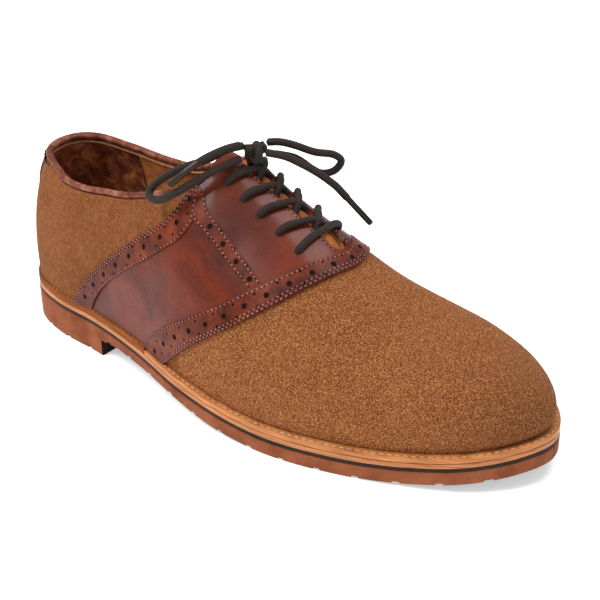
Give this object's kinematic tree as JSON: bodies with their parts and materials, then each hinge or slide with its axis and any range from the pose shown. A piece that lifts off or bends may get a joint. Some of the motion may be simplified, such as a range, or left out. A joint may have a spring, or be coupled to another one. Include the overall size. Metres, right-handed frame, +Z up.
{
  "type": "saddle shoe",
  "caption": "Low lace-up saddle shoe with a hollow suede upper, leather saddle and punched bands, leather welt, thin dark layer and a lugged rubber sole with a moulded heel.",
  "frame": {"origin": "on the floor, under the middle of the sole's length and width", "axes": "+X to the toe, +Y to the wearer's left, which is the medial side, +Z up"},
  "size_m": [0.3065, 0.1104, 0.124],
  "materials": {
    "sole_rubber": "matt brick red moulded rubber",
    "line_rubber": "matt dark grey rubber",
    "sole_leather": "waxed tan sole leather",
    "rand_leather": "brown stitched leather strip",
    "lining": "tan brushed lining",
    "suede": "tan suede",
    "saddle_leather": "burnished red brown smooth leather",
    "band_leather": "red brown smooth leather, punched",
    "tongue_leather": "tan suede",
    "lace": "dark brown round braided lace"
  },
  "bodies": {
    "root": {"outsole": "sole_rubber", "rubber_line": "line_rubber", "midsole": "sole_leather", "welt": "sole_leather", "heel_rand": "rand_leather", "insole": "lining", "upper": "suede", "saddle": "saddle_leather", "front_band": "band_leather", "rear_band_lateral": "band_leather", "rear_band_medial": "band_leather", "slant_band_lateral": "band_leather", "slant_band_medial": "band_leather", "backstay": "band_leather", "collar_binding": "band_leather", "tongue": "tongue_leather", "lace_crossings": "lace", "lace_knot": "lace", "lace_loop_lateral": "lace", "lace_loop_medial": "lace", "lace_end_lateral": "lace", "lace_end_medial": "lace", "aglet_lateral": "lace", "aglet_medial": "lace"}
  },
  "joints": []
}
